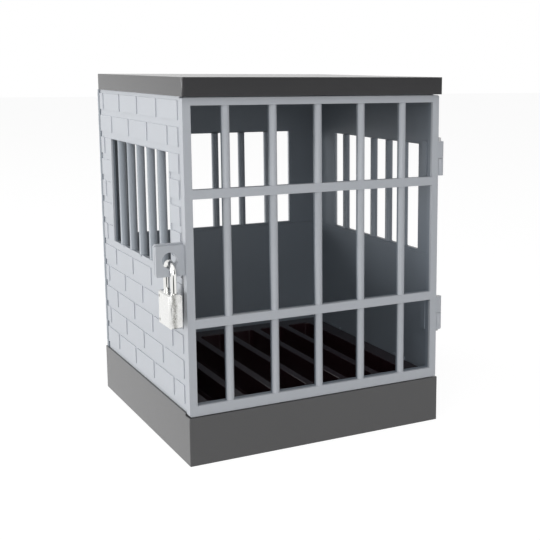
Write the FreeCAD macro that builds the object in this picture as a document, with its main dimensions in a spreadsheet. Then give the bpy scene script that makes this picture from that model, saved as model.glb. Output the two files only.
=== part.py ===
import FreeCAD, Part
import Sketcher
import os

# A small lock-up cage. X runs to the right, Y to the back and Z up, in millimetres.
# The origin is the middle of the base's underside.

SIZES = {
    # plinth
    "base_wide": 151.4,
    "base_deep": 157.5,
    "base_high": 27.3,
    "base_skin": 2.3,
    "base_top_skin": 2.5,
    "base_corner": 0.6,
    "ledge_drop": 1.3,
    "cover_thick": 2.2,
    "loose_fit": 0.2,
    # slotted floor
    "deck_thick": 2.2,
    "deck_side_gap": 1.2,
    "deck_block_gap": 0.5,
    "slot_count": 6,
    "slot_wide": 16.0,
    "slot_long": 128.0,
    "slot_deep": 12.2,
    "slot_pitch": 21.0,
    "slot_corner": 2.0,
    "slot_front_rim": 6.6,
    "slot_skin": 1.5,
    # walls
    "body_wide": 150.0,
    "wall_high": 162.9,
    "wall_skin": 3.0,
    "back_reach": 157.0,
    "back_return": 4.3,
    "seam": 0.4,
    "relief": 0.5,
    "lintel_step": 0.7,
    "lintel_rim": 1.3,
    "brick_long": 30.9,
    "brick_high": 9.8,
    "course": 13.35,
    "mortar": 3.3,
    "first_brick": 4.2,
    "front_border": 2.9,
    "first_joint": 18.2,
    # windows
    "window_long": 106.5,
    "window_foot": 72.1,
    "window_high": 61.9,
    "left_window_from_door": 18.2,
    "right_window_from_door": 12.2,
    "window_bars": 5,
    "window_bar": 4.4,
    "bar_inset": 1.8,
    # tabs under the walls and lugs at their tops
    "tab_long": 14.0,
    "tab_thick": 2.0,
    "tab_down": 5.0,
    "tab_up": 3.0,
    "tab_from_end": 24.0,
    "lug_reach": 12.0,
    "back_lug_reach": 15.0,
    "lug_eye": 5.0,
    "lug_long": 12.0,
    "lug_thick": 2.4,
    "lug_from_end": 14.0,
    "back_lug_from_end": 39.0,
    # roof
    "roof_wide": 151.4,
    "roof_over": 1.2,
    "roof_back": 152.4,
    "roof_high": 9.5,
    "roof_skin": 2.5,
    "roof_skirt": 2.6,
    "roof_corner": 0.8,
    "liner_thick": 2.0,
    # screws
    "post_wide": 6.6,
    "screw_radius": 1.1,
    "screw_hole": 1.5,
    "screw_head": 2.6,
    "head_high": 1.2,
    "screw_bite": 4.4,
    "screw_end_gap": 0.3,
    "cover_screw_inset": 9.5,
    # door
    "door_setback": 1.0,
    "door_thick": 5.0,
    "door_gap": 0.3,
    "door_foot_gap": 0.3,
    "door_head_gap": 0.5,
    "door_corner": 1.0,
    "stile_wide": 4.2,
    "top_rail": 3.9,
    "bottom_rail": 5.5,
    "cross_bar": 4.7,
    "cross_thick": 4.0,
    "lower_bar_at": 75.0,
    "upper_bar_at": 141.5,
    "door_bars": 5,
    "door_bar": 4.6,
    "door_bar_set": 2.6,
    "bar_pitch": 26.0,
    # hinges
    "axis_out": 2.8,
    "axis_back": 4.5,
    "knuckle_radius": 2.4,
    "hinge_long": 19.4,
    "lower_hinge_at": 54.0,
    "upper_hinge_at": 144.2,
    "knuckle_gap": 0.3,
    "door_web": 3.4,
    "wall_web": 5.2,
    "pin_radius": 1.0,
    "pin_fit": 0.08,
    "pin_above": 2.2,
    "pin_below": 1.5,
    "pin_bevel": 0.5,
    "hinge_boss": 1.6,
    "hinge_boss_long": 5.0,
    # hasp
    "ear_reach": 14.7,
    "ear_high": 15.7,
    "ear_thick": 2.2,
    "ear_back": 2.6,
    "ear_gap": 0.6,
    "ear_foot": 100.6,
    "rear_ear_extra": 0.7,
    "eye_up": 8.2,
    "eye_radius": 4.15,
    "ear_corner": 1.0,
    # padlock
    "case_thick": 7.4,
    "case_wide": 18.0,
    "case_high": 17.5,
    "case_corner": 1.6,
    "case_bevel": 0.7,
    "lock_aside": 0.45,
    "wire_radius": 1.6,
    "leg_half": 5.5,
    "hang_gap": 0.2,
    "leg_show": 9.5,
    "short_leg_in": 4.7,
    "short_bore_end": 0.4,
    "long_leg_in": 11.0,
    "long_bore_floor": 1.6,
    "leg_fit": 0.1,
    "leg_chamfer": 0.3,
    "plug_radius": 2.6,
    "plug_fit": 0.05,
    "keyway_wide": 0.8,
    "keyway_long": 3.0,
    "keyway_deep": 9.0,
    "tail_radius": 0.5,
    "tail_in": 0.8,
    "bolt_high": 1.4,
    "bolt_wide": 3.6,
    "bolt_long": 5.8,
    "bolt_catch": 0.5,
    "bolt_play": 1.7,
    "bolt_gap": 0.1,
    "bolt_travel": 1.6,
    "notch_foot": 0.8,
    "driver_radius": 0.7,
    "driver_fit": 0.05,
    "driver_pitch": 2.9,
    "first_driver": 3.1,
    "cap_long": 1.0,
    "rivet_radius": 0.8,
    "rivet_long": 1.4,
    "rivet_from_end": 2.6,
    "rivet_from_side": 2.7,
    "spring_wall": 0.35,
    "spring_fit": 0.1,
}

doc = FreeCAD.newDocument("lock_up_cage")
sheet = doc.addObject("Spreadsheet::Sheet", "Sizes")
for row, (alias, value) in enumerate(SIZES.items(), start=1):
    sheet.set(f"A{row}", alias)
    sheet.set(f"B{row}", str(value))
    sheet.setAlias(f"B{row}", alias)
doc.recompute()


def bound(words):
    """The words of a formula, with each size read from the sheet."""
    out = []
    word = ""
    for letter in words + " ":
        if letter.isalnum() or letter == "_":
            word += letter
            continue
        out.append(f"Sizes.{word}" if word in SIZES else word)
        word = ""
        out.append(letter)
    return "".join(out).strip()


def value_of(words):
    return float(sheet.evalExpression(bound(words)))


def bind(thing, prop, words):
    thing.setExpression(prop, bound(words))


# Places that several pieces share, as formulas of the sizes
FRONT = "(-base_deep / 2)"
DOOR_FRONT = f"({FRONT} + door_setback)"
DOOR_BACK = f"({DOOR_FRONT} + door_thick)"
WALL_FRONT = f"({DOOR_BACK} + door_gap)"
BACK_OUT = f"({FRONT} + back_reach)"
WALL_REAR = f"({BACK_OUT} - back_return - seam)"
WALL_LONG = f"({WALL_REAR} - {WALL_FRONT})"
WALL_TOP = "(base_high + wall_high)"
TAB_IN = "(wall_skin - tab_thick / 2)"
AXIS_X = "(body_wide / 2 + axis_out)"
AXIS_Y = f"({FRONT} + axis_back)"
KNUCKLE_LONG = "((hinge_long - knuckle_gap) / 2)"
HINGE_STEP = "(upper_hinge_at - lower_hinge_at)"
EAR_X = "(-body_wide / 2 - ear_reach / 2)"
EAR_Y = f"({DOOR_FRONT} + ear_back)"
REAR_EAR_Y = f"({EAR_Y} + ear_thick + ear_gap)"
EYE_Z = "(ear_foot + eye_up)"

# The padlock hangs from the ears' eyes by the inside of its bow
LOCK_X = f"({EAR_X} + lock_aside)"
LOCK_Y = f"({EAR_Y} + ear_thick + ear_gap / 2)"
BOW_IN = "(leg_half - wire_radius)"
HASP_HALF = "(ear_thick + ear_gap / 2)"
BOW_RISE = f"sqrt({BOW_IN} * {BOW_IN} - {HASP_HALF} * {HASP_HALF})"
BOW_Z = f"({EYE_Z} - eye_radius + hang_gap - {BOW_RISE})"
CASE_TOP = f"({BOW_Z} - leg_show)"
CASE_FOOT = f"({CASE_TOP} - case_high)"
SHORT_TIP = "(case_high - short_leg_in)"
LONG_TIP = "(case_high - long_leg_in)"
NOTCH_T = f"({BOW_IN} + bolt_catch)"
NOTCH_Z = f"({SHORT_TIP} + notch_foot)"
BOLT_Z = f"({NOTCH_Z} + bolt_play)"
BOLT_NOSE = f"(bolt_gap - {NOTCH_T})"
BOLT_TAIL = f"({BOLT_NOSE} + bolt_long)"

ROLES = {"XY": "XY_Plane", "XZ": "XZ_Plane", "YZ": "YZ_Plane"}
AXES = {"X": "X_Axis", "Y": "Y_Axis", "Z": "Z_Axis"}


def origin_part(body, role):
    return next(o for o in body.Origin.OriginFeatures if o.Role == role)


def new_body(name):
    body = doc.addObject("PartDesign::Body", name)
    body.Label = name
    return body


def sketch_on(body, name, plane, start):
    """A sketch on the body's origin plane, moved along the plane's axis to the start."""
    sketch = body.newObject("Sketcher::SketchObject", name)
    sketch.AttachmentSupport = [(origin_part(body, ROLES[plane]), "")]
    sketch.MapMode = "FlatFace"
    bind(sketch, ".AttachmentOffset.Base.z", f"-({start})" if plane == "XZ" else start)
    return sketch


def point(x, y):
    return FreeCAD.Vector(value_of(x), value_of(y), 0)


def fix(sketch, edge, end, x, y):
    """Ties an edge's end, or a circle's centre, to a formula for each coordinate."""
    for kind, words in (("DistanceX", x), ("DistanceY", y)):
        rule = Sketcher.Constraint(kind, -1, 1, edge, end, value_of(words))
        index = sketch.addConstraint(rule)
        bind(sketch, f"Constraints[{index}]", words)


def draw_polygon(sketch, corners):
    count = len(corners)
    first = sketch.GeometryCount
    for i in range(count):
        line = Part.LineSegment(point(*corners[i]), point(*corners[(i + 1) % count]))
        sketch.addGeometry(line)
    for i in range(count):
        after = first + (i + 1) % count
        sketch.addConstraint(Sketcher.Constraint("Coincident", first + i, 2, after, 1))
        fix(sketch, first + i, 1, *corners[i])


def draw_circle(sketch, x, y, radius):
    circle = Part.Circle(point(x, y), FreeCAD.Vector(0, 0, 1), value_of(radius))
    edge = sketch.addGeometry(circle)
    fix(sketch, edge, 3, x, y)
    rule = Sketcher.Constraint("Radius", edge, value_of(radius))
    bind(sketch, f"Constraints[{sketch.addConstraint(rule)}]", radius)


def box(x0, y0, x1, y1):
    return [(x0, y0), (x1, y0), (x1, y1), (x0, y1)]


def mid_box(half_x, half_y):
    return box(f"-({half_x})", f"-({half_y})", half_x, half_y)


def feature(body, kind, name, plane, start, length, shapes):
    """A pad or pocket from the start along the plane's plus axis, over the length.

    A shape is a list of corners, or a circle's centre and radius.
    """
    sketch = sketch_on(body, name + "_sketch", plane, start)
    for shape in shapes:
        if isinstance(shape, list):
            draw_polygon(sketch, shape)
        else:
            draw_circle(sketch, *shape)
    made = body.newObject("PartDesign::" + kind, name)
    made.Profile = (sketch, [""])
    bind(made, "Length", length)
    made.Reversed = (kind == "Pad") == (plane == "XZ")
    return made


def pad(body, name, plane, start, length, *shapes):
    return feature(body, "Pad", name, plane, start, length, shapes)


def pocket(body, name, plane, start, length, *shapes):
    return feature(body, "Pocket", name, plane, start, length, shapes)


def repeat(body, name, originals, axis, step, count, back=False):
    """Copies of features at a steady step along an axis."""
    pattern = body.newObject("PartDesign::LinearPattern", name)
    pattern.Originals = originals
    pattern.Direction = (origin_part(body, AXES[axis]), [""])
    pattern.Mode = "Spacing"
    pattern.Reversed = back
    bind(pattern, "Offset", step)
    bind(pattern, "Occurrences", count)
    body.Tip = pattern
    return pattern


def round_edges(body, name, radius, wanted, kind="Fillet"):
    """Rounds or bevels the edges of the body's tip that the test picks."""
    doc.recompute()
    base = body.Tip
    edges = enumerate(base.Shape.Edges, start=1)
    names = [f"Edge{i}" for i, edge in edges if wanted(edge)]
    made = body.newObject("PartDesign::" + kind, name)
    made.Base = (base, names)
    bind(made, "Radius" if kind == "Fillet" else "Size", radius)
    body.Tip = made
    return made


def along(edge, axis):
    """Whether a straight edge runs along the axis, given by its number."""
    if not isinstance(edge.Curve, Part.Line):
        return False
    a, b = edge.Vertexes[0].Point, edge.Vertexes[-1].Point
    return all(abs(a[i] - b[i]) < 1e-6 for i in range(3) if i != axis)


def at(edge, axis, words):
    return abs(edge.CenterOfMass[axis] - value_of(words)) < 1e-6


def place(thing, x, y, z, turn=0, axis=(0, 0, 1)):
    spin = FreeCAD.Rotation(FreeCAD.Vector(*axis), turn)
    thing.Placement = FreeCAD.Placement(FreeCAD.Vector(), spin)
    bind(thing, ".Placement.Base.x", x)
    bind(thing, ".Placement.Base.y", y)
    bind(thing, ".Placement.Base.z", z)


def rod(name, radius, length, x, y, z, turn=0, axis=(0, 0, 1)):
    made = doc.addObject("Part::Cylinder", name)
    bind(made, "Radius", radius)
    bind(made, "Height", length)
    place(made, x, y, z, turn, axis)
    return made


def joined(name, shapes):
    made = doc.addObject("Part::MultiFuse", name)
    made.Shapes = shapes
    made.Label = name
    return made


def signs():
    return [(a, b) for a in ("-1", "1") for b in ("-1", "1")]


# Where the screws stand
ROOF_SCREWS = [
    (
        f"{side} * (body_wide / 2 - wall_skin - lug_reach + lug_eye)",
        f"({WALL_FRONT} + lug_from_end + lug_long / 2)",
    )
    for side in ("-1", "1")
] + [
    (
        f"{side} * (body_wide / 2 - back_lug_from_end - lug_long / 2)",
        f"({BACK_OUT} - wall_skin - back_lug_reach + lug_eye)",
    )
    for side in ("-1", "1")
]
COVER_SCREWS = [
    (f"{a} * (base_wide / 2 - cover_screw_inset)", f"{b} * (base_deep / 2 - cover_screw_inset)")
    for a, b in signs()
]

# Outline of the slots' block under the floor
SLOTS_HALF = "(((slot_count - 1) * slot_pitch + slot_wide) / 2)"
DECK_FRONT = f"({WALL_FRONT} + loose_fit)"
DECK_REAR = f"({BACK_OUT} - wall_skin - deck_side_gap)"
DECK_HALF = "(body_wide / 2 - wall_skin - deck_side_gap)"
SLOT_FRONT = f"({DECK_FRONT} + slot_front_rim)"
SLOT_REAR = f"({SLOT_FRONT} + slot_long)"


def post(x, y):
    half = "post_wide / 2"
    return box(f"{x} - {half}", f"{y} - {half}", f"{x} + {half}", f"{y} + {half}")


def plinth():
    body = new_body("base_tray")
    half_x, half_y = "base_wide / 2", "base_deep / 2"
    pad(body, "block", "XY", "0", "base_high", mid_box(half_x, half_y))
    pocket(
        body, "hollow", "XY", "0", "base_high - base_top_skin",
        mid_box(f"{half_x} - base_skin", f"{half_y} - base_skin"),
    )
    round_edges(
        body, "corners", "base_corner",
        lambda e: along(e, 2) and abs(abs(e.CenterOfMass.x) - value_of(half_x)) < 1e-6,
    )
    pocket(
        body, "door_ledge", "XY", "base_high - ledge_drop", "ledge_drop",
        box(f"-{half_x}", f"-{half_y}", half_x, f"{WALL_FRONT} - door_gap / 2"),
    )
    pocket(
        body, "deck_opening", "XY", "base_high - base_top_skin", "base_top_skin",
        box(
            f"-{SLOTS_HALF} - slot_skin - deck_block_gap",
            f"{SLOT_FRONT} - slot_skin - deck_block_gap",
            f"{SLOTS_HALF} + slot_skin + deck_block_gap",
            f"{SLOT_REAR} + slot_skin + deck_block_gap",
        ),
    )
    far = f"(body_wide / 2 - {TAB_IN})"
    near = f"({far} - tab_thick)"
    holes = []
    for y0 in (f"({WALL_FRONT} + tab_from_end)", f"({WALL_REAR} - tab_from_end - tab_long)"):
        for x0, x1 in ((f"(-{far})", f"(-{near})"), (near, far)):
            holes.append(
                box(
                    f"{x0} - loose_fit", f"{y0} - loose_fit",
                    f"{x1} + loose_fit", f"{y0} + tab_long + loose_fit",
                )
            )
    rear = f"({BACK_OUT} - {TAB_IN})"
    for x0 in ("(-body_wide / 2 + tab_from_end)", "(body_wide / 2 - tab_from_end - tab_long)"):
        holes.append(
            box(
                f"{x0} - loose_fit", f"{rear} - tab_thick - loose_fit",
                f"{x0} + tab_long + loose_fit", f"{rear} + loose_fit",
            )
        )
    pocket(body, "tab_slots", "XY", "base_high - base_top_skin", "base_top_skin", *holes)
    pad(
        body, "posts", "XY", "cover_thick", "base_high - base_top_skin - cover_thick",
        *[post(x, y) for x, y in COVER_SCREWS],
    )
    pocket(
        body, "screw_bores", "XY", "cover_thick", "screw_bite + screw_end_gap",
        *[(x, y, "screw_radius") for x, y in COVER_SCREWS],
    )


def cover():
    body = new_body("bottom_cover")
    pad(
        body, "plate", "XY", "0", "cover_thick",
        mid_box("base_wide / 2 - base_skin - loose_fit", "base_deep / 2 - base_skin - loose_fit"),
    )
    pocket(
        body, "screw_holes", "XY", "0", "cover_thick",
        *[(x, y, "screw_hole") for x, y in COVER_SCREWS],
    )
    pocket(
        body, "head_seats", "XY", "0", "head_high",
        *[(x, y, "screw_head + loose_fit") for x, y in COVER_SCREWS],
    )


def floor_with_slots():
    body = new_body("slot_deck")
    bottom = "(base_high + deck_thick - slot_deep - slot_skin)"
    pad(
        body, "plate", "XY", "base_high", "deck_thick",
        box(f"-{DECK_HALF}", DECK_FRONT, DECK_HALF, DECK_REAR),
    )
    pad(
        body, "block", "XY", bottom, f"base_high - {bottom}",
        box(
            f"-{SLOTS_HALF} - slot_skin", f"{SLOT_FRONT} - slot_skin",
            f"{SLOTS_HALF} + slot_skin", f"{SLOT_REAR} + slot_skin",
        ),
    )
    slot = pocket(
        body, "slot", "XY", f"{bottom} + slot_skin", "slot_deep",
        box(f"-{SLOTS_HALF}", SLOT_FRONT, f"-{SLOTS_HALF} + slot_wide", SLOT_REAR),
    )
    repeat(body, "slots", [slot], "X", "slot_pitch", "slot_count")
    inside_x = value_of(SLOTS_HALF) + 1e-6
    inside_y = (value_of(SLOT_FRONT) - 1e-6, value_of(SLOT_REAR) + 1e-6)

    def slot_corner(edge):
        middle = edge.CenterOfMass
        inside = abs(middle.x) < inside_x and inside_y[0] < middle.y < inside_y[1]
        return along(edge, 2) and inside

    round_edges(body, "slot_corners", "slot_corner", slot_corner, "Chamfer")


def span(from_door, u0, z0, u1, z1):
    """A box between two distances from a wall's door end."""
    left, right = from_door(u0), from_door(u1)
    if value_of(left) > value_of(right):
        left, right = right, left
    return box(left, z0, right, z1)


def plain_wall(name, long, window_from_door, from_door):
    """A wall with its outer face on XZ, its inside towards plus Y and a barred window.

    from_door turns a distance from the wall's door end into a place along X.
    """
    body = new_body(name)
    pad(body, "plate", "XZ", "0", "wall_skin", box("0", "0", long, "wall_high"))
    window_end = f"({window_from_door} + window_long)"
    window_top = "(window_foot + window_high)"
    pocket(
        body, "window", "XZ", "0", "wall_skin",
        span(from_door, window_from_door, "window_foot", window_end, window_top),
    )
    pocket(
        body, "inner_band", "XZ", "wall_skin - lintel_step", "lintel_step",
        box("0", "window_foot - lintel_rim", long, f"{window_top} + lintel_rim"),
    )
    pitch = "((window_long + window_bar) / (window_bars + 1))"
    first = from_door(f"({window_from_door} + {pitch} - window_bar / 2)")
    bar = pad(
        body, "bar", "XY", "window_foot", "window_high", (first, "bar_inset", "window_bar / 2")
    )
    backwards = value_of(from_door("1")) < value_of(from_door("0"))
    repeat(body, "bars", [bar], "X", pitch, "window_bars", back=backwards)
    return body


def lay_bricks(body, long, from_door):
    """Sinks the mortar into the outer face, which leaves the bricks standing."""
    pocket(body, "foot_strip", "XZ", "0", "relief", box("0", "0", long, "first_brick"))
    bed = pocket(
        body, "bed_joint", "XZ", "0", "relief",
        box("0", "first_brick + brick_high", long, "first_brick + course"),
    )
    rows = "(floor((wall_high - first_brick) / course) + 1)"
    repeat(body, "bed_joints", [bed], "Z", "course", rows)
    pocket(
        body, "border", "XZ", "0", "relief", span(from_door, "0", "0", "front_border", "wall_high")
    )
    brick = "(brick_long + mortar)"
    for kind, shift, row in (("even", "0", "0"), ("odd", f"{brick} / 2", "1")):
        start = f"(first_joint - {shift} - mortar / 2)"
        foot = f"(first_brick + {row} * course)"
        count = int((value_of(long) - value_of(start)) // value_of(brick)) + 1
        joint = pocket(
            body, f"{kind}_joint", "XZ", "0", "relief",
            *[
                span(
                    from_door, f"{start} + {i} * {brick}", foot,
                    f"{start} + mortar + {i} * {brick}", f"{foot} + brick_high",
                )
                for i in range(count)
            ],
        )
        repeat(body, f"{kind}_joints", [joint], "Z", "2 * course", f"floor({rows} / 2)")


def tabs(body, long):
    tab = pad(
        body, "tab", "XY", "-tab_down", "tab_down + tab_up",
        box("tab_from_end", TAB_IN, "tab_from_end + tab_long", f"{TAB_IN} + tab_thick"),
    )
    repeat(body, "tabs", [tab], "X", f"{long} - 2 * tab_from_end - tab_long", "2")


def lug(body, foot, reach):
    top = "wall_high - lug_thick"
    plate = pad(
        body, "lug", "XY", top, "lug_thick",
        box(foot, "wall_skin", f"{foot} + lug_long", f"wall_skin + {reach}"),
    )
    eye = pocket(
        body, "lug_eye", "XY", top, "lug_thick",
        (f"{foot} + lug_long / 2", f"wall_skin + {reach} - lug_eye", "screw_hole"),
    )
    return [plate, eye]


def left_wall():
    def from_door(u):
        return f"({WALL_LONG} - ({u}))"

    body = plain_wall("left_wall", WALL_LONG, "left_window_from_door", from_door)
    tabs(body, WALL_LONG)
    lug(body, f"({WALL_LONG} - lug_from_end - lug_long)", "lug_reach")
    lay_bricks(body, WALL_LONG, from_door)
    ear = f"({WALL_REAR} - {REAR_EAR_Y} - ear_thick)"
    foot = "(ear_foot - base_high)"
    top = f"({foot} + ear_high + rear_ear_extra)"
    end = "(-ear_reach)"
    pad(
        body, "ear", "YZ", ear, "ear_thick",
        [
            (end, f"{foot} + ear_corner"), (f"{end} + ear_corner", foot), ("wall_skin / 2", foot),
            ("wall_skin / 2", top), (f"{end} + ear_corner", top), (end, f"{top} - ear_corner"),
        ],
    )
    pocket(
        body, "ear_eye", "YZ", ear, "ear_thick",
        ("-ear_reach / 2", f"{EYE_Z} - base_high", "eye_radius"),
    )
    place(body, "-body_wide / 2", WALL_REAR, "base_high", -90)


def right_wall():
    def from_door(u):
        return f"({u})"

    body = plain_wall("right_wall", WALL_LONG, "right_window_from_door", from_door)
    tabs(body, WALL_LONG)
    lug(body, "lug_from_end", "lug_reach")
    lay_bricks(body, WALL_LONG, from_door)
    axis = f"({AXIS_Y} - {WALL_FRONT})"
    foot = "(lower_hinge_at - base_high)"
    far = "(-axis_out - knuckle_radius)"
    barrel = pad(
        body, "knuckle", "XY", foot, KNUCKLE_LONG, (axis, "-axis_out", "knuckle_radius")
    )
    web = pad(
        body, "knuckle_web", "XY", foot, KNUCKLE_LONG,
        [
            ("0", "wall_skin / 2"), ("0", "0"), (axis, "-axis_out / 2"), (axis, far),
            (f"{axis} + 0.8 * knuckle_radius", far), ("wall_web", "0"),
            ("wall_web", "wall_skin / 2"),
        ],
    )
    bore = pocket(
        body, "pin_bore", "XY", foot, KNUCKLE_LONG, (axis, "-axis_out", "pin_radius")
    )
    boss = pad(
        body, "hinge_boss", "XY", foot, "hinge_long",
        box("0", "wall_skin", "hinge_boss_long", "wall_skin + hinge_boss"),
    )
    repeat(body, "hinge_halves", [barrel, web, bore, boss], "Z", HINGE_STEP, "2")
    place(body, "body_wide / 2", WALL_FRONT, "base_high", 90)


def back_wall():
    def from_door(u):
        return f"({u})"

    body = plain_wall(
        "back_wall", "body_wide", "((body_wide - window_long) / 2)", from_door
    )
    tabs(body, "body_wide")
    lugs = lug(body, "back_lug_from_end", "back_lug_reach")
    step = "body_wide - 2 * back_lug_from_end - lug_long"
    repeat(body, "lugs", lugs, "X", step, "2")
    side = pad(
        body, "return", "XY", "0", "wall_high", box("0", "0", "wall_skin", "back_return")
    )
    repeat(body, "returns", [side], "X", "body_wide - wall_skin", "2")
    lay_bricks(body, "body_wide", from_door)
    place(body, "body_wide / 2", BACK_OUT, "base_high", 180)


def roof():
    body = new_body("roof_cap")
    front, rear, half = f"({FRONT} - roof_over)", f"({FRONT} + roof_back)", "roof_wide / 2"
    pad(body, "slab", "XY", "0", "roof_high", box(f"-{half}", front, half, rear))
    round_edges(body, "corners", "roof_corner", lambda e: along(e, 2))
    pocket(
        body, "hollow", "XY", "0", "roof_high - roof_skin",
        box(
            f"-{half} + roof_skirt", f"{front} + roof_skirt",
            f"{half} - roof_skirt", f"{rear} - roof_skirt",
        ),
    )
    pad(
        body, "posts", "XY", "liner_thick", "roof_high - roof_skin - liner_thick",
        *[post(x, y) for x, y in ROOF_SCREWS],
    )
    pocket(
        body, "screw_bores", "XY", "liner_thick", "screw_bite + screw_end_gap",
        *[(x, y, "screw_radius") for x, y in ROOF_SCREWS],
    )
    place(body, "0", "0", WALL_TOP)


def liner():
    body = new_body("ceiling_liner")
    gap = "(roof_skirt + loose_fit)"
    pad(
        body, "plate", "XY", "0", "liner_thick",
        box(
            f"-roof_wide / 2 + {gap}", f"{FRONT} - roof_over + {gap}",
            f"roof_wide / 2 - {gap}", f"{FRONT} + roof_back - {gap}",
        ),
    )
    pocket(
        body, "screw_holes", "XY", "0", "liner_thick",
        *[(x, y, "screw_hole") for x, y in ROOF_SCREWS],
    )
    place(body, "0", "0", WALL_TOP)


def screws(name, places, head_z, shank_z, shank_long):
    rods = []
    for i, (x, y) in enumerate(places):
        head = rod(f"{name}_head_{i}", "screw_head", "head_high", x, y, head_z)
        shank = rod(f"{name}_shank_{i}", "screw_radius", shank_long, x, y, shank_z)
        rods += [head, shank]
    joined(name, rods)


def door():
    body = new_body("door_grille")
    foot = "(base_high - ledge_drop + door_foot_gap)"
    top = f"({WALL_TOP} - door_head_gap)"
    half, inner = "body_wide / 2", "(body_wide / 2 - stile_wide)"
    low, high = f"({foot} + bottom_rail)", f"({top} - top_rail)"
    pad(
        body, "frame", "XZ", DOOR_FRONT, "door_thick",
        box(f"-{half}", foot, half, top), box(f"-{inner}", low, inner, high),
    )
    outer = value_of(half)
    round_edges(
        body, "frame_corners", "door_corner",
        lambda e: along(e, 1) and abs(abs(e.CenterOfMass.x) - outer) < 1e-6,
    )
    pad(
        body, "cross_bars", "XZ", DOOR_FRONT, "cross_thick",
        *[
            box(f"-{inner}", f"{z} - cross_bar / 2", inner, f"{z} + cross_bar / 2")
            for z in ("lower_bar_at", "upper_bar_at")
        ],
    )
    bar = pad(
        body, "bar", "XY", low, f"{high} - {low}",
        ("-(door_bars - 1) * bar_pitch / 2", f"{DOOR_FRONT} + door_bar_set", "door_bar / 2"),
    )
    repeat(body, "bars", [bar], "X", "bar_pitch", "door_bars")
    end = f"(-{half} - ear_reach)"
    pad(
        body, "ear", "XZ", EAR_Y, "ear_thick",
        box(end, "ear_foot", f"-{half} + stile_wide / 2", "ear_foot + ear_high"),
    )
    round_edges(body, "ear_corners", "ear_corner", lambda e: along(e, 1) and at(e, 0, end))
    pocket(body, "ear_eye", "XZ", EAR_Y, "ear_thick", (EAR_X, EYE_Z, "eye_radius"))
    knuckle_z = f"(lower_hinge_at + {KNUCKLE_LONG} + knuckle_gap)"
    barrel = pad(
        body, "knuckle", "XY", knuckle_z, KNUCKLE_LONG, (AXIS_X, AXIS_Y, "knuckle_radius")
    )
    web_y = f"({AXIS_Y} - knuckle_radius)"
    web = pad(
        body, "knuckle_web", "XY", knuckle_z, KNUCKLE_LONG,
        box(f"{half} - stile_wide / 2", web_y, AXIS_X, f"{web_y} + door_web"),
    )
    bore = pocket(
        body, "pin_bore", "XY", knuckle_z, KNUCKLE_LONG,
        (AXIS_X, AXIS_Y, "pin_radius + pin_fit"),
    )
    repeat(body, "knuckles", [barrel, web, bore], "Z", HINGE_STEP, "2")


def hinge_pin(name, hinge_at, below, above, shown_end):
    body = new_body(name)
    long = f"hinge_long + {below} + {above}"
    pad(body, "shank", "XY", "0", long, ("0", "0", "pin_radius"))
    end = "0" if shown_end == "below" else long
    round_edges(
        body, "bevel", "pin_bevel", lambda e: not along(e, 2) and at(e, 2, end), "Chamfer"
    )
    place(body, AXIS_X, AXIS_Y, f"{hinge_at} - {below}")


def padlock_case():
    body = new_body("lock_case")
    pad(body, "block", "XY", "0", "case_high", mid_box("case_thick / 2", "case_wide / 2"))
    round_edges(body, "corners", "case_corner", lambda e: along(e, 2))
    round_edges(
        body, "rims", "case_bevel", lambda e: at(e, 2, "0") or at(e, 2, "case_high"), "Chamfer"
    )
    pocket(
        body, "short_leg_bore", "XY", f"{SHORT_TIP} - short_bore_end",
        "short_leg_in + short_bore_end", ("0", "-leg_half", "wire_radius + leg_fit"),
    )
    pocket(
        body, "long_leg_bore", "XY", "long_bore_floor", "case_high - long_bore_floor",
        ("0", "leg_half", "wire_radius + leg_fit"),
    )
    pocket(
        body, "bolt_channel", "XY", f"{BOLT_Z} - bolt_gap", "bolt_high + 2 * bolt_gap",
        box(
            "-bolt_wide / 2 - bolt_gap", f"-{NOTCH_T}",
            "bolt_wide / 2 + bolt_gap", f"{BOLT_TAIL} + bolt_travel + bolt_gap",
        ),
    )
    pocket(body, "plug_bore", "XY", "0", BOLT_Z, ("0", "0", "plug_radius + plug_fit"))
    driver = pocket(
        body, "driver_bore", "XZ", "-case_wide / 2", "case_wide / 2",
        ("0", "first_driver", "driver_radius + driver_fit"),
    )
    repeat(body, "driver_bores", [driver], "Z", "driver_pitch", "3")
    pocket(
        body, "rivet_seats", "YZ", "-case_thick / 2", "rivet_long",
        *[(t, z, "rivet_radius") for t, z in RIVETS],
    )
    place(body, LOCK_X, LOCK_Y, CASE_FOOT)


RIVETS = [
    ("case_wide / 2 - rivet_from_side", "rivet_from_end"),
    ("case_wide / 2 - rivet_from_side", "case_high - rivet_from_end"),
]


def padlock_shackle():
    body = new_body("lock_shackle")
    bow_z = "(case_high + leg_show)"
    pad(body, "long_leg", "XY", LONG_TIP, f"{bow_z} - {LONG_TIP}", ("0", "leg_half", "wire_radius"))
    round_edges(
        body, "long_tip", "leg_chamfer",
        lambda e: not along(e, 2) and at(e, 2, LONG_TIP), "Chamfer",
    )
    sketch = sketch_on(body, "bow_sketch", "XY", bow_z)
    draw_circle(sketch, "0", "leg_half", "wire_radius")
    bow = body.newObject("PartDesign::Revolution", "bow")
    bow.Profile = (sketch, [""])
    bow.ReferenceAxis = (sketch, ["H_Axis"])
    bow.Angle = 180
    body.Tip = bow
    pad(body, "short_leg", "XY", SHORT_TIP, f"{bow_z} - {SHORT_TIP}", ("0", "-leg_half", "wire_radius"))
    round_edges(
        body, "short_tip", "leg_chamfer",
        lambda e: not along(e, 2) and at(e, 2, SHORT_TIP), "Chamfer",
    )
    pocket(
        body, "notch", "XY", NOTCH_Z, "bolt_play + bolt_high + bolt_gap",
        box("-wire_radius", f"-{NOTCH_T}", "wire_radius", f"-{BOW_IN} + bolt_catch"),
    )
    place(body, LOCK_X, LOCK_Y, CASE_FOOT)


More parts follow.
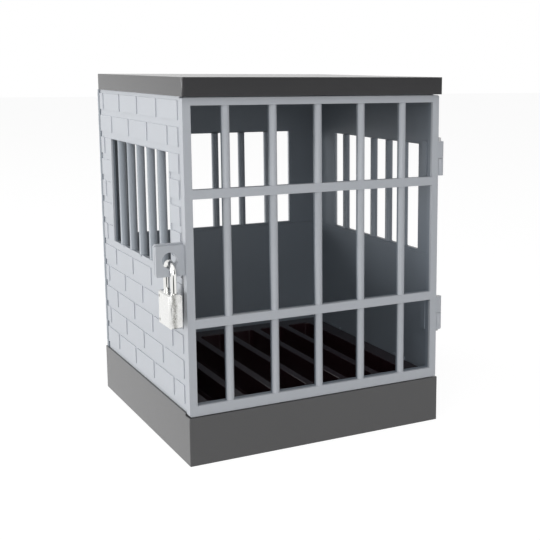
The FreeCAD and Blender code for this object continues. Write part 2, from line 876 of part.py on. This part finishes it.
def padlock_plug():
    body = new_body("lock_plug")
    long = f"({BOLT_Z} - bolt_gap)"
    pad(body, "barrel", "XY", "0", long, ("0", "0", "plug_radius"))
    pocket(
        body, "keyway", "XY", "0", "keyway_deep", mid_box("keyway_wide / 2", "keyway_long / 2")
    )
    pad(
        body, "tail", "XY", long, "bolt_gap + tail_in",
        ("bolt_travel / 2", "-bolt_travel / 2", "tail_radius"),
    )
    place(body, LOCK_X, LOCK_Y, CASE_FOOT)


def padlock_bolt():
    body = new_body("lock_bolt")
    pad(
        body, "bar", "XY", "0", "bolt_high",
        box("-bolt_wide / 2", BOLT_NOSE, "bolt_wide / 2", BOLT_TAIL),
    )
    reach = "(tail_radius + bolt_gap)"
    pocket(
        body, "tail_groove", "XY", "0", "tail_in + bolt_gap",
        box(
            "-bolt_wide / 2", f"-bolt_travel / 2 - {reach}",
            "bolt_wide / 2", f"-bolt_travel / 2 + {reach}",
        ),
    )
    place(body, LOCK_X, LOCK_Y, f"{CASE_FOOT} + {BOLT_Z}")


def padlock_spring():
    outer = rod(
        "spring_outside", "wire_radius + leg_fit - spring_fit", f"{LONG_TIP} - long_bore_floor",
        LOCK_X, f"{LOCK_Y} + leg_half", f"{CASE_FOOT} + long_bore_floor",
    )
    inner = rod(
        "spring_inside", "wire_radius + leg_fit - spring_fit - spring_wall",
        f"{LONG_TIP} - long_bore_floor",
        LOCK_X, f"{LOCK_Y} + leg_half", f"{CASE_FOOT} + long_bore_floor",
    )
    spring = doc.addObject("Part::Cut", "shackle_spring")
    spring.Base = outer
    spring.Tool = inner
    spring.Label = "shackle_spring"


def padlock_pins():
    drivers, caps, rivets = [], [], []
    reach = "(plug_radius + plug_fit + bolt_gap)"
    for i in range(3):
        z = f"{CASE_FOOT} + first_driver + {i} * driver_pitch"
        along_y = ((LOCK_X, f"{LOCK_Y} - case_wide / 2 + cap_long", z), -90, (1, 0, 0))
        spot, turn, axis = along_y
        drivers.append(
            rod(
                f"driver_{i}", "driver_radius", f"case_wide / 2 - cap_long - {reach}",
                *spot, turn, axis,
            )
        )
        caps.append(
            rod(
                f"cap_{i}", "driver_radius + driver_fit", "cap_long",
                LOCK_X, f"{LOCK_Y} - case_wide / 2", z, turn, axis,
            )
        )
    for i, (t, z) in enumerate(RIVETS):
        rivets.append(
            rod(
                f"rivet_{i}", "rivet_radius", "rivet_long",
                f"{LOCK_X} - case_thick / 2", f"{LOCK_Y} + {t}", f"{CASE_FOOT} + {z}",
                90, (0, 1, 0),
            )
        )
    joined("tumbler_pins", drivers)
    joined("pin_caps", caps)
    joined("case_rivets", rivets)


plinth()
cover()
floor_with_slots()
left_wall()
right_wall()
back_wall()
roof()
liner()
screws(
    "roof_screws", ROOF_SCREWS, f"{WALL_TOP} - lug_thick - head_high",
    f"{WALL_TOP} - lug_thick", "lug_thick + liner_thick + screw_bite",
)
screws("cover_screws", COVER_SCREWS, "0", "head_high", "cover_thick - head_high + screw_bite")
door()
hinge_pin("lower_hinge_pin", "lower_hinge_at", "pin_below", "0", "below")
hinge_pin("upper_hinge_pin", "upper_hinge_at", "0", "pin_above", "above")
padlock_case()
padlock_shackle()
padlock_plug()
padlock_bolt()
padlock_spring()
padlock_pins()
doc.recompute()

NODES = [
    "base_tray", "bottom_cover", "slot_deck", "left_wall", "right_wall", "back_wall",
    "roof_cap", "ceiling_liner", "roof_screws", "cover_screws", "door_grille",
    "lower_hinge_pin", "upper_hinge_pin", "lock_case", "lock_shackle", "lock_plug",
    "lock_bolt", "shackle_spring", "tumbler_pins", "pin_caps", "case_rivets",
]

for thing in doc.Objects:
    if "Invalid" in thing.State or "Error" in thing.State:
        raise SystemExit(f"{thing.Label} did not build: {thing.State}")
nodes = [doc.getObjectsByLabel(name)[0] for name in NODES]
for node in nodes:
    if node.Shape.isNull() or not node.Shape.isValid():
        raise SystemExit(f"{node.Label} has a bad shape")

os.makedirs("parts", exist_ok=True)
for node in nodes:
    node.Shape.exportStep(f"parts/{node.Label}.step")
    box_now = node.Shape.BoundBox
    print(
        f"{node.Label:16s} solids {len(node.Shape.Solids)} volume {node.Shape.Volume:10.1f}"
        f"  X {box_now.XMin:7.2f} {box_now.XMax:7.2f}  Y {box_now.YMin:7.2f} {box_now.YMax:7.2f}"
        f"  Z {box_now.ZMin:7.2f} {box_now.ZMax:7.2f}"
    )
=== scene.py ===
import math

import bmesh
import bpy
from mathutils import Matrix, Vector


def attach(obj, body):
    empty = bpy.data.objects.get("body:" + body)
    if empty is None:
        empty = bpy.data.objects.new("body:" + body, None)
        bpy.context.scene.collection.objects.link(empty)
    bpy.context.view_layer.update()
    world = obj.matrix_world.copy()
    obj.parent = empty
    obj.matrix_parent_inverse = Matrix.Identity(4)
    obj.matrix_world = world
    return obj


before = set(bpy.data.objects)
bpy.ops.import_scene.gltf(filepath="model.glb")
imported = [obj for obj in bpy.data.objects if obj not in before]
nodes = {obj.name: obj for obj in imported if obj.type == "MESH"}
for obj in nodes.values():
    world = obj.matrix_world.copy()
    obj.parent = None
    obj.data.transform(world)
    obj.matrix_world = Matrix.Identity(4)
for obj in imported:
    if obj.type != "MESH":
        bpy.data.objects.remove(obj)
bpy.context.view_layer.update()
MM = 0.001
X, Y, Z = 0, 1, 2


# Colours and shader nodes

def colour(hex_code):
    """Linear RGBA from an sRGB hex code."""
    channels = [int(hex_code[i:i + 2], 16) / 255 for i in (1, 3, 5)]
    linear = [c / 12.92 if c <= 0.04045 else ((c + 0.055) / 1.055) ** 2.4 for c in channels]
    return (*linear, 1.0)


def add(tree, kind, settings=None, **inputs):
    """A shader node with its settings, and its inputs set to values or linked to sockets.

    An input is named as in the editor with _ for a space, or i0, i1 and so on by number.
    """
    node = tree.nodes.new("ShaderNode" + kind)
    for name, value in (settings or {}).items():
        setattr(node, name, value)
    for name, value in inputs.items():
        key = int(name[1:]) if name[0] == "i" and name[1:].isdigit() else name.replace("_", " ")
        socket = node.inputs[key]
        if isinstance(value, bpy.types.NodeSocket):
            tree.links.new(value, socket)
        else:
            socket.default_value = value
    return node


def new_material(name):
    material = bpy.data.materials.new(name)
    material.use_nodes = True
    material.node_tree.nodes.clear()
    return material, material.node_tree


OF_COLOURS = {"data_type": "RGBA"}
TIMES = {"operation": "MULTIPLY"}


def within(tree, place, spans):
    """1 where a point lies within every span, each an axis with a middle and a half width."""
    parts = add(tree, "SeparateXYZ", Vector=place)
    inside = 1.0
    for axis, middle, half in spans:
        hit = add(
            tree, "Math", {"operation": "COMPARE"}, i0=parts.outputs[axis], i1=middle, i2=half
        )
        inside = add(tree, "Math", TIMES, i0=hit.outputs[0], i1=inside).outputs[0]
    return inside


def dim(tree, place, spot, inner, outer, level):
    """1 all round, and down to a level near a spot: what a dark card there does."""
    far = add(tree, "VectorMath", {"operation": "DISTANCE"}, i0=place, i1=spot)
    ramp = add(
        tree, "MapRange", {"interpolation_type": "SMOOTHSTEP"}, Value=far.outputs["Value"],
        From_Min=inner, From_Max=outer, To_Min=level, To_Max=1.0,
    )
    return ramp.outputs[0]


# Materials: the sizes of their patterns in millimetres come first

# Flow clouds in the plastic, and the slow waves that a thin moulded wall has.
CLOUD_MM, WAVE_MM, WAVE_SHARE = 71.43, 22.22, 0.6
# Patches of handling wear on the metal, the specks of rubbed plating, and how far their
# strip wanders to each side.
WEAR_MM, SPECK_MM, STRIP_DRIFT = 3.846, 0.6667, 1.2 * MM


def moulded_abs(name, shades, roughness, grain_mm, depth, painted_shade_zones=()):
    """Injection-moulded ABS: an even colour with faint flow clouds, and a fine spark-eroded
    grain from the mould that breaks up the gloss. The real grain is under 0.1 mm and wouldn't
    show, so it is drawn coarser. Zones of the piece may be painted a darker grey: painted
    shade, standing in for the shade that falls there."""
    base, low, high = shades
    material, tree = new_material(name)
    place = add(tree, "TexCoord").outputs["Object"]
    clouds = add(
        tree, "TexNoise", Vector=place, Scale=1 / (CLOUD_MM * MM), Detail=3.0, Roughness=0.55
    )
    tone = add(
        tree, "Mix", OF_COLOURS, Factor=clouds.outputs["Fac"], i6=colour(low), i7=colour(high)
    )
    paint = add(tree, "Mix", OF_COLOURS, Factor=0.5, i6=colour(base), i7=tone.outputs[2])
    # each zone is painted over in its darker grey: painted shade
    for shade, spans in painted_shade_zones:
        zone = within(tree, place, spans)
        paint = add(
            tree, "Mix", OF_COLOURS, Factor=zone, i6=paint.outputs[2], i7=colour(shade)
        )
    grain = add(
        tree, "TexNoise", Vector=place, Scale=1 / (grain_mm * MM), Detail=2.0, Roughness=0.6
    )
    waves = add(tree, "TexNoise", Vector=place, Scale=1 / (WAVE_MM * MM), Detail=2.0)
    height = add(
        tree, "Math", {"operation": "MULTIPLY_ADD"}, i0=waves.outputs["Fac"], i1=WAVE_SHARE,
        i2=grain.outputs["Fac"],
    )
    bump = add(tree, "Bump", Strength=depth, Distance=0.2 * MM, Height=height.outputs[0])
    gloss = add(
        tree, "MapRange", Value=grain.outputs["Fac"],
        To_Min=roughness - 0.06, To_Max=roughness + 0.08,
    )
    shader = add(
        tree, "BsdfPrincipled", Base_Color=paint.outputs[2], Roughness=gloss.outputs[0],
        Normal=bump.outputs[0], IOR=1.53,
    )
    add(tree, "OutputMaterial", Surface=shader.outputs[0])
    return material


def rubbed_strip(tree, place, wear, middle, spans):
    """How far the plating is gone: an upright strip with a wavering middle, in specks."""
    parts = add(tree, "SeparateXYZ", Vector=place)
    drift = add(
        tree, "Math", {"operation": "MULTIPLY_ADD"}, i0=wear.outputs["Fac"],
        i1=2 * STRIP_DRIFT, i2=-middle - STRIP_DRIFT,
    )
    aside = add(tree, "Math", {"operation": "ADD"}, i0=parts.outputs[X], i1=drift.outputs[0])
    away = add(tree, "Math", {"operation": "ABSOLUTE"}, i0=aside.outputs[0])
    band = add(
        tree, "MapRange", {"interpolation_type": "SMOOTHSTEP"}, Value=away.outputs[0],
        From_Min=0.1 * MM, From_Max=1.9 * MM, To_Min=1.0, To_Max=0.0,
    )
    specks = add(
        tree, "TexNoise", Vector=place, Scale=1 / (SPECK_MM * MM), Detail=3.0, Roughness=0.7
    )
    rubbed = add(
        tree, "MapRange", {"clamp": True}, Value=specks.outputs["Fac"],
        From_Min=0.3, From_Max=0.66, To_Min=0.25, To_Max=1.0,
    )
    amount = add(tree, "Math", TIMES, i0=band.outputs[0], i1=rubbed.outputs[0])
    shown = add(tree, "Math", TIMES, i0=amount.outputs[0], i1=within(tree, place, spans))
    return shown.outputs[0]


def bright_metal(name, shades, roughness, spread, scratch_mm, depth, worn=None):
    """Plated, turned or drawn metal: bright, with fine streaks that run down it, drawn coarser
    than real ones so that they show. A worn strip has its plating rubbed through in specks,
    so that the duller zinc shows."""
    material, tree = new_material(name)
    place = add(tree, "TexCoord").outputs["Object"]
    stretch = add(tree, "Mapping", Vector=place, Scale=(1.0, 1.0, 0.12))
    streaks = add(
        tree, "TexNoise", Vector=stretch.outputs[0], Scale=1 / (scratch_mm * MM), Detail=4.0,
        Roughness=0.7,
    )
    wear = add(tree, "TexNoise", Vector=place, Scale=1 / (WEAR_MM * MM), Detail=3.0)
    handled = add(tree, "Math", TIMES, i0=streaks.outputs["Fac"], i1=wear.outputs["Fac"])
    gloss = add(
        tree, "MapRange", Value=handled.outputs[0],
        From_Min=0.15, From_Max=0.4, To_Min=roughness, To_Max=roughness + spread,
    )
    bright, dimmer = (colour(shade) for shade in shades)
    paint = add(
        tree, "Mix", OF_COLOURS, Factor=wear.outputs["Fac"], i6=bright, i7=dimmer
    )
    if worn:
        middle, spans, dull = worn
        gone = rubbed_strip(tree, place, wear, middle, spans)
        paint = add(
            tree, "Mix", OF_COLOURS, Factor=gone, i6=paint.outputs[2], i7=colour(dull)
        )
    bump = add(tree, "Bump", Strength=depth, Distance=0.1 * MM, Height=streaks.outputs["Fac"])
    shader = add(
        tree, "BsdfPrincipled", Base_Color=paint.outputs[2], Metallic=1.0,
        Roughness=gloss.outputs[0], Normal=bump.outputs[0],
    )
    add(tree, "OutputMaterial", Surface=shader.outputs[0])
    return material


# The plinth has a satin mould finish: a soft sheen, no clear reflections.
plinth_abs = moulded_abs(
    "Moulded_ABS_plinth", ("#464647", "#404041", "#4d4d4e"), 0.32, 0.35, 0.25
)
# The roof slab is nearly black and smoother, so it mirrors the sky at a low angle.
roof_abs = moulded_abs("Moulded_ABS_roof", ("#29292b", "#252527", "#2f2f31"), 0.19, 0.35, 0.12)
# The floor is polished dark maroon, and its ribs catch the light in thin lines.
floor_abs = moulded_abs("Polished_ABS_floor", ("#231418", "#1c1013", "#2b181d"), 0.2, 0.6, 0.08)

# The walls are pale grey with a fine grain that keeps them matt. Their insides and their
# windows' reveals are painted darker greys: painted shade for the shade inside the cage and
# in the openings.
WALL_GREY = ("#b4b8be", "#afb3b9", "#babec4")
WALL_FINISH = (0.44, 0.4, 0.25)
INNER_SHADE_GREY, BAR_SHADE_GREY = "#737b84", "#90979f"
INNER_SHADE_HALF = 10.0 * MM
WINDOW_HEIGHT = (Z, 130.35 * MM, 30.95 * MM)
WINDOW_HALF = 53.2 * MM
left_abs = moulded_abs(
    "Moulded_ABS_left_wall", WALL_GREY, *WALL_FINISH,
    [
        (INNER_SHADE_GREY, [(X, -63.8 * MM, INNER_SHADE_HALF)]),
        (BAR_SHADE_GREY, [(Y, -1.0 * MM, WINDOW_HALF), WINDOW_HEIGHT]),
    ],
)
right_abs = moulded_abs(
    "Moulded_ABS_right_wall", WALL_GREY, *WALL_FINISH,
    [
        (INNER_SHADE_GREY, [(X, 63.8 * MM, INNER_SHADE_HALF)]),
        (INNER_SHADE_GREY, [(Y, -7.0 * MM, WINDOW_HALF), WINDOW_HEIGHT]),
    ],
)
back_abs = moulded_abs(
    "Moulded_ABS_back_wall", WALL_GREY, *WALL_FINISH,
    [
        (INNER_SHADE_GREY, [(Y, 67.2 * MM, INNER_SHADE_HALF)]),
        (INNER_SHADE_GREY, [(X, 0.0, WINDOW_HALF), WINDOW_HEIGHT]),
    ],
)
jamb_abs = moulded_abs("Moulded_ABS_jambs", WALL_GREY, *WALL_FINISH)

# The bars are painted a darker grey than the walls: painted shade, the walls' grey as it looks
# in shade. They are a little glossier, so they show as round.
left_bars_shade_abs = moulded_abs(
    "Moulded_ABS_left_bars_painted_shade", (BAR_SHADE_GREY, BAR_SHADE_GREY, "#989fa7"), 0.4, 0.4, 0.15
)
window_bars_shade_abs = moulded_abs(
    "Moulded_ABS_window_bars_painted_shade", (INNER_SHADE_GREY, INNER_SHADE_GREY, "#7b838c"), 0.4, 0.4, 0.15
)

# The door is a shade darker than the walls. Its inner side is painted darker again: painted
# shade for the shade inside the cage.
door_abs = moulded_abs(
    "Moulded_ABS_door", ("#b0b4ba", "#abafb5", "#b6bac0"), 0.4, 0.4, 0.2,
    [(INNER_SHADE_GREY, [(Y, -71.3 * MM, 4.7 * MM), (X, 0.0, 74.5 * MM)])],
)

# The lock's case is cast zinc under chrome: bright and a little uneven, and rubbed dull in
# specks down its narrow front.
lock_chrome = bright_metal(
    "Chromed_zinc_case", ("#dededd", "#cdcdcb"), 0.16, 0.2, 0.5, 0.05,
    (-82.9 * MM, [(Y, -80.7 * MM, 1.6 * MM)], "#74746e"),
)
# The bow is polished wire: a clean mirror with one dark line down each leg.
wire_chrome = bright_metal("Chromed_steel_wire", ("#dcdcda", "#d8d8d6"), 0.03, 0.03, 0.3, 0.0)
# The rivets were hammered flat, which leaves them duller than the case.
rivet_steel = bright_metal("Peened_steel_rivet", ("#8f8f8c", "#7c7c79"), 0.3, 0.2, 0.2, 0.4)
# The plug and the bolt are turned brass: warm yellow with a satin gloss.
lock_brass = bright_metal("Turned_brass", ("#c9a45c", "#bf9a54"), 0.25, 0.25, 0.3, 0.1)
# The pins and the screws are drawn steel: grey, with fine streaks along them.
pin_steel = bright_metal("Drawn_steel", ("#b9babb", "#aeafb0"), 0.28, 0.25, 0.3, 0.15)


# Finish of the solids

def dress(node_name, material, edge_mm, segments=2):
    """Gives a CAD node its material and the small rounding that a mould leaves on its edges.
    A node without it keeps its edges crisp."""
    piece = nodes[node_name]
    piece.data.materials.clear()
    piece.data.materials.append(material)
    for polygon in piece.data.polygons:
        polygon.material_index = 0
    weld = piece.modifiers.new("joined", "WELD")
    weld.merge_threshold = 0.002 * MM
    if edge_mm:
        flat = piece.modifiers.new("flats", "DECIMATE")
        flat.decimate_type = "DISSOLVE"
        flat.angle_limit = math.radians(0.5)
        soft = piece.modifiers.new("edges", "BEVEL")
        soft.width = edge_mm * MM
        soft.segments = segments
        soft.limit_method = "ANGLE"
        soft.angle_limit = math.radians(35)
    else:
        crisp = piece.modifiers.new("crisp", "EDGE_SPLIT")
        crisp.split_angle = math.radians(35)


dress("base_tray", plinth_abs, 0.4)
dress("bottom_cover", plinth_abs, 0.2)
dress("slot_deck", floor_abs, 0.4)
dress("left_wall", left_abs, 0.35)
dress("right_wall", right_abs, 0.35)
dress("back_wall", back_abs, 0.35)
dress("roof_cap", roof_abs, 0.5, 3)
dress("ceiling_liner", roof_abs, 0)
dress("roof_screws", pin_steel, 0.2)
dress("cover_screws", pin_steel, 0.2)
dress("door_grille", door_abs, 0.35)
dress("lower_hinge_pin", pin_steel, 0)
dress("upper_hinge_pin", pin_steel, 0)
dress("lock_case", lock_chrome, 0.1)
dress("lock_shackle", wire_chrome, 0)
dress("lock_plug", lock_brass, 0)
dress("lock_bolt", lock_brass, 0)
dress("shackle_spring", pin_steel, 0)
dress("tumbler_pins", lock_brass, 0)
dress("pin_caps", lock_chrome, 0)
dress("case_rivets", rivet_steel, 0)


# Window bars, jambs and the roof's lip

WINDOW_LOW, WINDOW_TOP, WINDOW_LONG = 99.4 * MM, 161.3 * MM, 106.5 * MM
BAR_COUNT, BAR_SIDES = 5, 48
BAR_RADIUS, BAR_PITCH, FLARE = 2.24 * MM, 18.483 * MM, 0.26 * MM
BAR_CLEAR = 0.02 * MM
JAMB_WIDE, JAMB_OVER, JAMB_SUNK, JAMB_PROUD = 1.5 * MM, 0.03 * MM, 1.3 * MM, 0.03 * MM
JAMB_EDGE, LIP_EDGE = 0.15 * MM, 0.2 * MM


def keep(shape, name, material):
    """Makes a piece of the cage from a bmesh, shaded smooth but for its sharp edges."""
    mesh = bpy.data.meshes.new(name)
    bmesh.ops.recalc_face_normals(shape, faces=shape.faces[:])
    shape.to_mesh(mesh)
    shape.free()
    mesh.materials.append(material)
    mesh.shade_smooth()
    mesh.set_sharp_from_angle(angle=math.radians(50))
    piece = bpy.data.objects.new(name, mesh)
    bpy.context.scene.collection.objects.link(piece)
    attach(piece, "cage")


def round_off(shape, edge):
    bmesh.ops.bevel(
        shape, geom=shape.edges[:], offset=edge, offset_type="OFFSET", segments=2,
        profile=0.5, affect="EDGES", material=-1,
    )


def window_bars(name, middle, step, material):
    """Five round upright bars, with the small fillets that a mould leaves at their ends."""
    shape = bmesh.new()
    low, top = WINDOW_LOW + BAR_CLEAR, WINDOW_TOP - BAR_CLEAR
    rises = [
        (low + 0.6 * FLARE, 0.4 * FLARE), (low + 1.8 * FLARE, 0.0),
        (top - 1.8 * FLARE, 0.0), (top - 0.6 * FLARE, 0.4 * FLARE), (top, FLARE),
    ]
    for number in range(BAR_COUNT):
        axis = Vector(middle) + (number - BAR_COUNT // 2) * BAR_PITCH * Vector(step)
        wide = BAR_RADIUS + FLARE
        foot = bmesh.ops.create_circle(shape, cap_ends=True, segments=BAR_SIDES, radius=wide)
        bmesh.ops.translate(shape, verts=foot["verts"], vec=axis + Vector((0, 0, low)))
        end = foot["verts"][0].link_faces[0]
        for height, flare in rises:
            # with its edges given, the face goes up and leaves no wall inside the bar
            made = bmesh.ops.extrude_face_region(shape, geom=[end, *end.edges])["geom"]
            ring = [item for item in made if isinstance(item, bmesh.types.BMVert)]
            end = next(item for item in made if isinstance(item, bmesh.types.BMFace))
            bmesh.ops.translate(shape, verts=ring, vec=(0, 0, height - ring[0].co.z))
            grow = (BAR_RADIUS + flare) / wide
            wide = BAR_RADIUS + flare
            bmesh.ops.scale(
                shape, verts=ring, vec=(grow, grow, 1.0), space=Matrix.Translation(-axis)
            )
    keep(shape, name, material)


def window_jambs(name, corner, along, outwards, material):
    """The plain upright strips beside a window, at which the mortar joints stop."""
    shape = bmesh.new()
    along, outwards, up = Vector(along), Vector(outwards), Vector((0, 0, 1))
    for place in (-JAMB_WIDE, WINDOW_LONG - JAMB_OVER):
        start = Vector(corner) - outwards * JAMB_SUNK + along * place + up * JAMB_OVER
        wide = along * (JAMB_WIDE + JAMB_OVER)
        high = up * (WINDOW_TOP - WINDOW_LOW - 2 * JAMB_OVER)
        spots = [start, start + wide, start + wide + high, start + high]
        face = shape.faces.new([shape.verts.new(spot) for spot in spots])
        made = bmesh.ops.extrude_face_region(shape, geom=[face], use_keep_orig=True)
        raised = [item for item in made["geom"] if isinstance(item, bmesh.types.BMVert)]
        bmesh.ops.translate(shape, verts=raised, vec=outwards * (JAMB_SUNK + JAMB_PROUD))
    round_off(shape, JAMB_EDGE)
    keep(shape, name, material)


def rear_lip(low, high, material):
    """The lip under the roof's rear edge, which closes the slit before the back wall."""
    shape = bmesh.new()
    bmesh.ops.create_cube(shape, size=1.0)
    low, high = Vector(low), Vector(high)
    bmesh.ops.scale(shape, verts=shape.verts[:], vec=high - low)
    bmesh.ops.translate(shape, verts=shape.verts[:], vec=(low + high) / 2)
    round_off(shape, LIP_EDGE)
    keep(shape, "roof_rear_lip", material)


rear_lip(
    (-72.2 * MM, 73.0 * MM, 188.2 * MM), (72.2 * MM, 75.3 * MM, 190.25 * MM), roof_abs
)
# Each window: the middle bar's foot, the opening's lower corner on the wall's face, the way
# along the wall, the way out of it, and the bars' darker material, which is painted shade.
WINDOWS = {
    "left": (
        (-73.2 * MM, -1.0 * MM, 0), (-75.0 * MM, -54.25 * MM, WINDOW_LOW),
        (0, 1, 0), (-1, 0, 0), left_bars_shade_abs,
    ),
    "right": (
        (73.2 * MM, -7.0 * MM, 0), (75.0 * MM, -60.25 * MM, WINDOW_LOW),
        (0, 1, 0), (1, 0, 0), window_bars_shade_abs,
    ),
    "back": (
        (0, 76.45 * MM, 0), (-53.25 * MM, 78.25 * MM, WINDOW_LOW),
        (1, 0, 0), (0, 1, 0), window_bars_shade_abs,
    ),
}
for side, (middle_bar, corner, along, outwards, bar_shade_material) in WINDOWS.items():
    window_bars(f"{side}_window_bars", middle_bar, along, bar_shade_material)
    window_jambs(f"{side}_window_jambs", corner, along, outwards, jamb_abs)


# Floor, light and camera

WHITE = (1.0, 1.0, 1.0, 1.0)
FLOOR_LEVEL = 1.2
SKY_LEVEL = 0.3
# Part of the floor's own shade shows to the camera, so that it keeps the object's shadow.
FLOOR_SHOWN = 0.75
# A dark card on the floor in front gives the bow its dark line, and one in the sky keeps
# the roof's front dark. Only mirror rays see them.
FLOOR_CARD = {"spot": (-0.25, -0.55, 0.0), "inner": 0.12, "outer": 0.25, "level": 0.03}
SKY_CARD = {"spot": (0.51, -0.86, 0.0), "inner": 0.2, "outer": 0.8, "level": 0.2}


def studio():
    """The pale floor: white to the camera and to mirror rays, paper to all others."""
    mesh = bpy.data.meshes.new("studio_floor")
    shape = bmesh.new()
    bmesh.ops.create_grid(shape, x_segments=1, y_segments=1, size=6.0)
    shape.to_mesh(mesh)
    shape.free()
    ground = bpy.data.objects.new("studio_floor", mesh)
    bpy.context.scene.collection.objects.link(ground)
    material, tree = new_material("Pale_paper_floor")
    place = add(tree, "TexCoord").outputs["Object"]
    path = add(tree, "LightPath")
    mirror, seen = path.outputs["Is Glossy Ray"], path.outputs["Is Camera Ray"]
    card = dim(tree, place, **FLOOR_CARD)
    mirrored = add(tree, "Math", TIMES, i0=card, i1=FLOOR_LEVEL)
    level = add(tree, "Mix", Factor=mirror, i2=FLOOR_LEVEL, i3=mirrored.outputs[0])
    paper = add(tree, "BsdfDiffuse", Color=colour("#e9e9e9"))
    glow = add(tree, "Emission", Color=WHITE, Strength=level.outputs[0])
    shown = add(tree, "Math", TIMES, i0=seen, i1=FLOOR_SHOWN)
    share = add(tree, "Math", {"operation": "MAXIMUM"}, i0=shown.outputs[0], i1=mirror)
    mixed = add(
        tree, "MixShader", i0=share.outputs[0], i1=paper.outputs[0], i2=glow.outputs[0]
    )
    add(tree, "OutputMaterial", Surface=mixed.outputs[0])
    mesh.materials.append(material)


def sky():
    """The white world: full strength to the camera, a low even fill to the object."""
    world = bpy.data.worlds.new("Studio_white")
    bpy.context.scene.world = world
    world.use_nodes = True
    tree = world.node_tree
    tree.nodes.clear()
    path = add(tree, "LightPath")
    mirror, seen = path.outputs["Is Glossy Ray"], path.outputs["Is Camera Ray"]
    aim = add(tree, "TexCoord").outputs["Generated"]
    fill = add(tree, "Mix", Factor=mirror, i2=SKY_LEVEL, i3=dim(tree, aim, **SKY_CARD))
    level = add(tree, "Mix", Factor=seen, i2=fill.outputs[0], i3=1.0)
    white = add(tree, "Background", Color=WHITE, Strength=level.outputs[0])
    add(tree, "OutputWorld", Surface=white.outputs[0])


def lamp(name, size, watts, spot):
    """A soft box that faces the middle of the cage."""
    data = bpy.data.lights.new(name, "AREA")
    data.shape = "RECTANGLE"
    data.size, data.size_y = size
    data.energy = watts
    light = bpy.data.objects.new(name, data)
    light.location = spot
    aim = Vector((0, 0, 0.1)) - Vector(spot)
    light.rotation_euler = aim.to_track_quat("-Z", "Y").to_euler()
    bpy.context.scene.collection.objects.link(light)


def camera():
    """The photograph's view: the shift puts its centre of projection where it was."""
    frame_pixels, frame_middle = 540, 269.5
    centre_x, centre_y = 392.157, 237.325
    data = bpy.data.cameras.new("Camera")
    data.lens = 68.90
    data.sensor_width = 36.0
    data.shift_x = (frame_middle - centre_x) / frame_pixels
    data.shift_y = (centre_y - frame_middle) / frame_pixels
    view = bpy.data.objects.new("Camera", data)
    yaw, pitch, roll = (math.radians(a) for a in (30.5735, 9.4663, 0.4211))
    turn = (
        Matrix.Rotation(-yaw, 4, "Z")
        @ Matrix.Rotation(math.pi / 2 - pitch, 4, "X")
        @ Matrix.Rotation(roll, 4, "Z")
    )
    view.matrix_world = Matrix.Translation((-0.24497, -0.569085, 0.205963)) @ turn
    bpy.context.scene.collection.objects.link(view)
    bpy.context.scene.camera = view


studio()
sky()
lamp("Key_left_rear", (1.6, 0.64), 28.0, (-2.0, 1.0, 0.34))
lamp("Top_soft", (1.4, 1.2), 9.0, (-0.5, -0.9, 1.5))
lamp("Fill_front", (1.2, 0.8), 8.0, (-0.75, -1.5, 0.5))
camera()
bpy.context.scene.view_settings.view_transform = "Standard"
